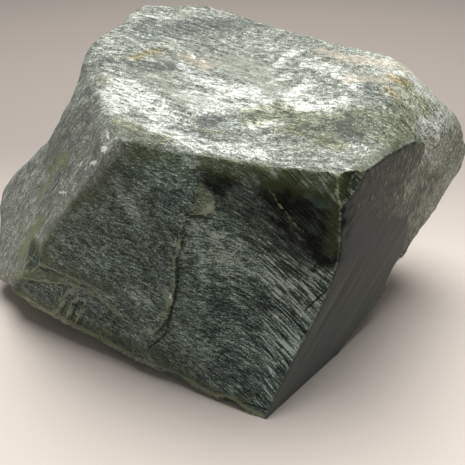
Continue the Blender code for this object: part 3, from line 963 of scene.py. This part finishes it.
def breakLook(tree, place, x, z, grains):
    # deep green felt, drawn out into streaks towards the sawn side, with a painted olive glow where the edge
    # is thin
    speck, grit, blotch, cloud = grains.values()
    ahead = addNode(tree, "ShaderNodeCombineXYZ", {0: x, 2: z}).outputs[0]
    flat = grain(tree, ahead, (0.87, 0.0, -0.48), (5.0, 0.5), 21.0, detail=2.0, roughness=0.5)
    steep = grain(tree, ahead, (0.7, 0.0, -0.71), (6.0, 0.5), 25.0, detail=2.0, roughness=0.5)
    streaks = between(tree, ramp(tree, x, 0.002, 0.022), flat, steep)
    felt = grain(tree, ahead, (1.0, 0.0, -0.12), (1.8, 0.5), 22.0, detail=2.0, roughness=0.6)
    sheets = grain(tree, ahead, (0.87, 0.0, -0.5), (15.0, 5.0), 24.0, distortion=0.4)
    strands = between(tree, ramp(tree, x, -0.02, 0.02), felt, streaks)
    strands = product(tree, strands, ramp(tree, x, -0.02, 0.02, 0.5, 1.1))
    flakes = scales(tree, ahead, (0.5, 0.0, -0.87), (9.0, 5.0), 61.0)
    # bright specks: partly white flecks in the stone, partly painted glints of the fibres
    flecksAndGlints = dots(tree, place, (0.947, -0.31, -0.45), (2.0, 1.0), 57.0, 0.26, 0.16)
    rightSide = ramp(tree, x, 0.012, 0.035)
    # painted light: the marked patches on the middle of the break come out lighter
    breakTone = total(tree, tones["break"], (strands, 1.25), (felt, 0.2), (sheets, 0.3), (flakes, 0.11),
                      (blotch, 0.15), (grit, 0.6), (cloud, 0.2), (flecksAndGlints, 0.18), (mark(tree, "paintedLight"), 0.2),
                      (mark(tree, "pale"), 0.2), (rightSide, -0.05))
    fresh = colourRamp(tree, breakTone, jade["break"])
    onBreak = strengths["break"]
    # painted shade: darkening tints over the shaded hollow under the lip
    for name in ("softShade", "shade"):
        fresh = cover(tree, fresh, name, onBreak[name], "MULTIPLY")
    fresh = cover(tree, fresh, "teal", onBreak["teal"])
    # painted glow: olive where light would pass through the thin edge
    fresh = painted(tree, fresh, product(tree, mark(tree, "thin"), onBreak["thin"]), "glow")
    fresh = cover(tree, fresh, "glow", onBreak["glow"])
    fresh = crumble(tree, fresh, "oliveFlake", onBreak["oliveFlake"], grains)
    fresh = cover(tree, fresh, "lens", onBreak["lens"])
    for name in ("pale", "rib"):
        fresh = crumble(tree, fresh, name, onBreak[name], grains)
    # pale convex edges: partly wear, partly a painted highlight where light catches the edge, stronger at the
    # lowest rim
    wearAndHighlight = ramp(tree, total(tree, mark(tree, "edge"), (speck, 0.5), (blotch, 0.7)), 0.35, 0.95)
    wearAndHighlight = product(tree, wearAndHighlight, ramp(tree, z, 0.012, 0.03, 0.95, 0.7))
    fresh = painted(tree, fresh, wearAndHighlight, "edge")
    # darker in the hollows of the break
    hollowDark = ramp(tree, total(tree, mark(tree, "hollow"), (blotch, 0.4)), 0.4, 0.9)
    fresh = painted(tree, fresh, product(tree, hollowDark, onBreak["hollowDark"]), "crackAndShadowLine")
    return {
        "colour": fresh,
        "roughness": total(tree, finish["breakRoughness"], (speck, 0.2)),
        "height": total(tree, 0.0, (strands, 1.0), (felt, 0.3), (flakes, 1.6), (grit, 0.2)),
    }


def sawLook(tree, place, x, z, grains):
    # smooth grey, and rough with short upright olive streaks above
    _, grit, _, cloud = grains.values()
    lengthwise = grain(tree, place, (0.5, 0.42, 0.76), (40.0, 3.0), 31.0)
    smoothTone = total(tree, tones["saw"], (lengthwise, 0.5), (grit, 0.12), (z, tones["sawFall"]))
    upright = grain(tree, place, (0.1, -0.15, 1.0), (3.6, 0.5), 33.0, detail=1.5, roughness=0.5)
    farEnd = ramp(tree, x, 0.045, 0.078)
    roughTone = total(tree, tones["roughSaw"], (upright, 0.8), (grit, 0.35), (cloud, 0.3), (farEnd, 0.36))
    smoothCut = colourRamp(tree, smoothTone, jade["saw"])
    roughCut = colourRamp(tree, roughTone, jade["roughSaw"])
    rough = mark(tree, "rough")
    return {
        "colour": blend(tree, rough, smoothCut, roughCut),
        "roughness": total(tree, finish["sawRoughness"], (lengthwise, 0.06)),
        "height": product(tree, upright, 0.4, rough),
    }


def jadeMaterial():
    material = bpy.data.materials.new("jade")
    material.use_nodes = True
    tree = material.node_tree
    shader = tree.nodes["Principled BSDF"]
    place = tree.nodes.new("ShaderNodeTexCoord").outputs["Object"]
    x, _, z = addNode(tree, "ShaderNodeSeparateXYZ", {0: place}).outputs
    broken, sawn = mark(tree, "broken"), mark(tree, "sawn")
    grains = sharedGrains(tree, place)
    rind, fresh, cut = (look(tree, place, x, z, grains) for look in (rindLook, breakLook, sawLook))

    base = blend(tree, broken, rind["colour"], fresh["colour"])
    base = blend(tree, sawn, base, cut["colour"])
    base = crumble(tree, base, "chalk", strengths["whole"]["chalk"], grains)
    width = total(tree, 1.0, (grains["speck"], 0.8))
    patchy = ramp(tree, grains["blotch"], -0.35, 0.15, 0.15, 0.55)
    # painted highlight along the ledge rims
    base = drawnLine(tree, base, "rimLine", patchy, width)
    # cracks, and painted shadow lines beneath the ledges
    base = drawnLine(tree, base, "crackAndShadowLine", strengths["whole"]["crackAndShadowLine"], width)
    tree.links.new(base, shader.inputs["Base Color"])

    def everywhere(part):
        return between(tree, sawn, between(tree, broken, rind[part], fresh[part]), cut[part])

    tree.links.new(everywhere("roughness"), shader.inputs["Roughness"])
    shine = total(tree, finish["shine"], (broken, finish["breakShine"]), (sawn, finish["sawShine"]),
                  (mark(tree, "shade"), finish["shadeShine"]))
    tree.links.new(shine, shader.inputs["Specular IOR Level"])
    bump = addNode(tree, "ShaderNodeBump", {"Strength": 1.0, "Distance": finish["bumpHeight"] * millimetre,
                                            "Height": everywhere("height")})
    tree.links.new(bump.outputs[0], shader.inputs["Normal"])
    return material


def dressStone():
    fine = fineStone("boulder")
    markRegions(fine, readPairs(fine))
    material = jadeMaterial()
    mesh = withRelief(fine, material)
    low, high = np.array(solidBox[0]), np.array(solidBox[1])
    writePlaces(mesh, np.clip(readPlaces(mesh), low, high))
    mesh.name = "jadeStone"
    for face in mesh.polygons:
        face.use_smooth = True
    piece = placed("jadeStone", mesh)
    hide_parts("boulder")
    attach(piece, "root")
    print("stone dressed", triangleCount(mesh), "triangles")
    return piece


dressStone()

# Floor and light.

studio = {
    "floorNear": (212, 201, 191), "floorFar": (160, 150, 142), "floorTurn": (-30.0, 200.0),
    "floorRadius": 3000.0, "floorRoughness": 0.7, "aim": (0.0, 0.0, 40.0),
    "keyPlace": (40.0, 170.0, 950.0), "keySize": 900.0, "keyPower": 15.2,
    "fillPlace": (250.0, -700.0, 500.0), "fillSize": 600.0, "fillPower": 0.2,
    "air": (205, 208, 212), "airStrength": 0.22,
}


def aimedLight(name, place, size, power):
    light = bpy.data.lights.new(name, "AREA")
    light.shape = "DISK"
    light.size = size * millimetre
    light.energy = power
    holder = placed(name, light)
    holder.location = Vector(place) * millimetre
    aim = Vector(studio["aim"]) * millimetre - holder.location
    holder.rotation_euler = aim.to_track_quat("-Z", "Y").to_euler()


def makeFloor():
    shape = bmesh.new()
    bmesh.ops.create_circle(shape, cap_ends=True, segments=96,
                              radius=studio["floorRadius"] * millimetre)
    mesh = bpy.data.meshes.new("floor")
    shape.to_mesh(mesh)
    shape.free()
    material = bpy.data.materials.new("paleFloor")
    material.use_nodes = True
    tree = material.node_tree
    place = tree.nodes.new("ShaderNodeTexCoord").outputs["Object"]
    apart = addNode(tree, "ShaderNodeSeparateXYZ", {0: place})
    near, far = (edge * millimetre for edge in studio["floorTurn"])
    # painted falloff of the light: the floor darkens from near to far
    away = ramp(tree, apart.outputs[1], near, far)
    tone = blend(tree, away, linear(*studio["floorNear"]), linear(*studio["floorFar"]))
    shader = tree.nodes["Principled BSDF"]
    tree.links.new(tone, shader.inputs["Base Color"])
    shader.inputs["Roughness"].default_value = studio["floorRoughness"]
    mesh.materials.append(material)
    floor = placed("floor", mesh)


def makeLight():
    aimedLight("keyLight", studio["keyPlace"], studio["keySize"], studio["keyPower"])
    aimedLight("fillLight", studio["fillPlace"], studio["fillSize"], studio["fillPower"])
    world = bpy.data.worlds.new("air")
    world.use_nodes = True
    air = world.node_tree.nodes["Background"]
    air.inputs[0].default_value = linear(*studio["air"])
    air.inputs[1].default_value = studio["airStrength"]
    bpy.context.scene.world = world
    bpy.context.scene.view_settings.view_transform = "Standard"


makeFloor()
makeLight()
print("floor and light made")
